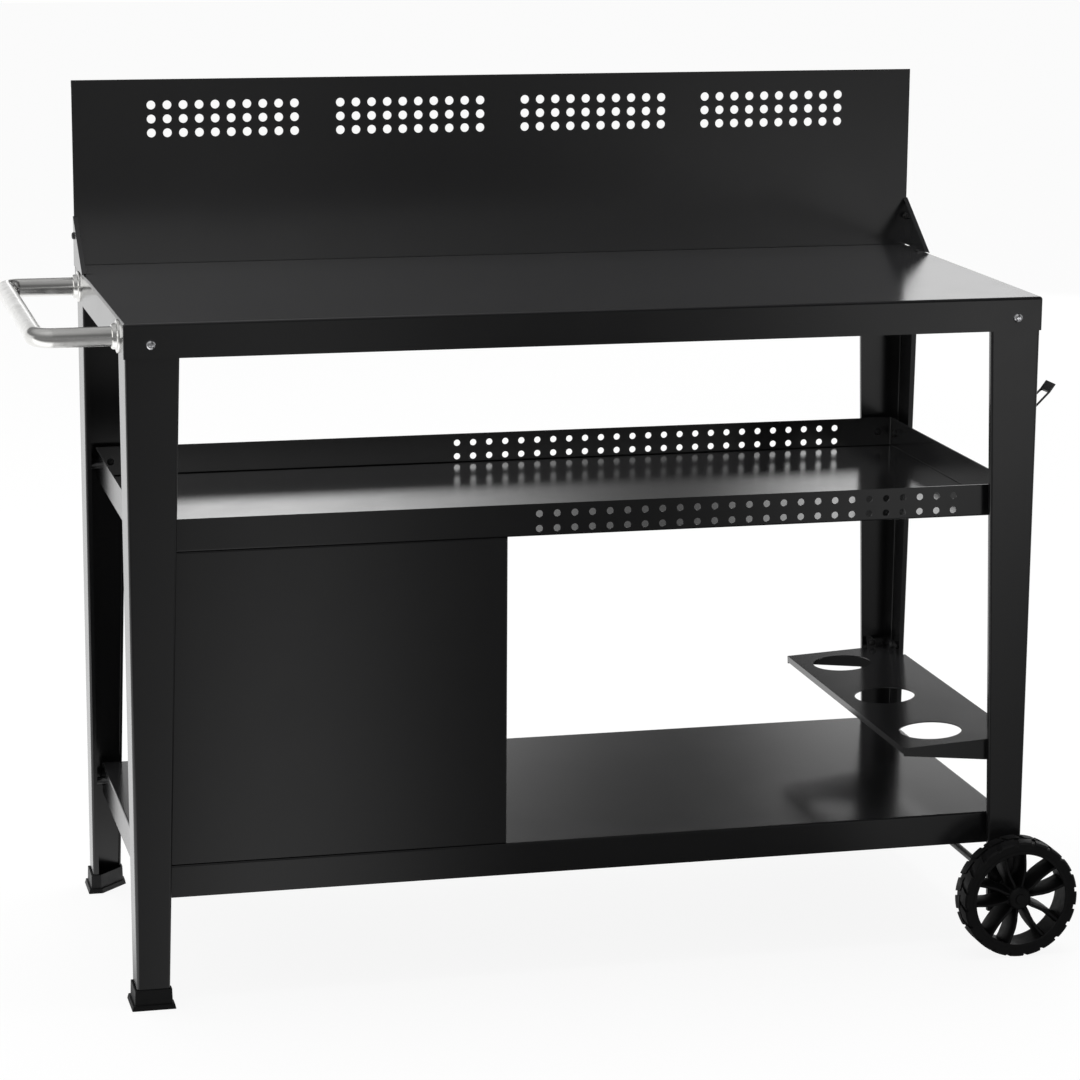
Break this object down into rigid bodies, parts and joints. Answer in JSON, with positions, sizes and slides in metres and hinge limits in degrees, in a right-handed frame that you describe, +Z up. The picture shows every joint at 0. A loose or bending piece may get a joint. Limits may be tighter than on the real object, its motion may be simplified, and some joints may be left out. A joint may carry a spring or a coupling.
{
  "type": "grill cart",
  "caption": "Wheeled metal grill cart with a flat worktop, perforated splash guard, rimmed tray, bottom shelf, cover panel, bottle holder, opener and side push handle.",
  "frame": {"origin": "on the floor, under the middle of the whole cart's bounding box", "axes": "+X from the push handle towards the wheels along the worktop, +Y from the front to the splash guard at the back, +Z up"},
  "size_m": [1.374, 0.643, 1.137],
  "materials": {
    "black_powder_coat": "satin black powder coat",
    "polished_stainless": "polished stainless steel",
    "zinc_plated_steel": "bright zinc plate",
    "black_oxide_steel": "black oxide",
    "black_plastic": "fine-grained moulded plastic",
    "black_tyre": "hard moulded tread"
  },
  "bodies": {
    "cart": {"worktop": "black_powder_coat", "splash_guard": "black_powder_coat", "gusset_left": "black_powder_coat", "gusset_right": "black_powder_coat", "leg_front_left": "black_powder_coat", "leg_back_left": "black_powder_coat", "leg_front_right": "black_powder_coat", "leg_back_right": "black_powder_coat", "middle_tray": "black_powder_coat", "bottom_shelf": "black_powder_coat", "cover_panel": "black_powder_coat", "bottle_holder": "black_powder_coat", "bottle_opener": "black_powder_coat", "handle_tube": "polished_stainless", "handle_rosettes": "polished_stainless", "handle_plugs": "zinc_plated_steel", "handle_bolts": "zinc_plated_steel", "foot_front_left": "black_plastic", "foot_back_left": "black_plastic", "axle": "black_oxide_steel", "axle_bushes": "black_plastic", "axle_caps": "black_plastic", "worktop_screws": "polished_stainless", "worktop_nuts": "zinc_plated_steel", "gusset_screws": "black_oxide_steel", "gusset_nuts": "black_oxide_steel", "tray_posts": "black_powder_coat", "tray_screws": "black_oxide_steel", "shelf_posts": "black_powder_coat", "shelf_screws": "black_oxide_steel", "holder_posts": "black_powder_coat", "holder_screws": "black_oxide_steel", "panel_screws": "zinc_plated_steel", "panel_nuts": "zinc_plated_steel", "opener_screws": "zinc_plated_steel", "opener_nuts": "zinc_plated_steel"},
    "front_wheel": {"front_rim": "black_plastic", "front_tyre": "black_tyre"},
    "rear_wheel": {"rear_rim": "black_plastic", "rear_tyre": "black_tyre"}
  },
  "joints": [
    {"name": "front_wheel_spin", "type": "hinge", "parent": "cart", "child": "front_wheel", "pos_m": [0.607, -0.3005, 0.08], "axis": [0, 1, 0], "continuous": true},
    {"name": "rear_wheel_spin", "type": "hinge", "parent": "cart", "child": "rear_wheel", "pos_m": [0.607, 0.3005, 0.08], "axis": [0, 1, 0], "continuous": true}
  ]
}
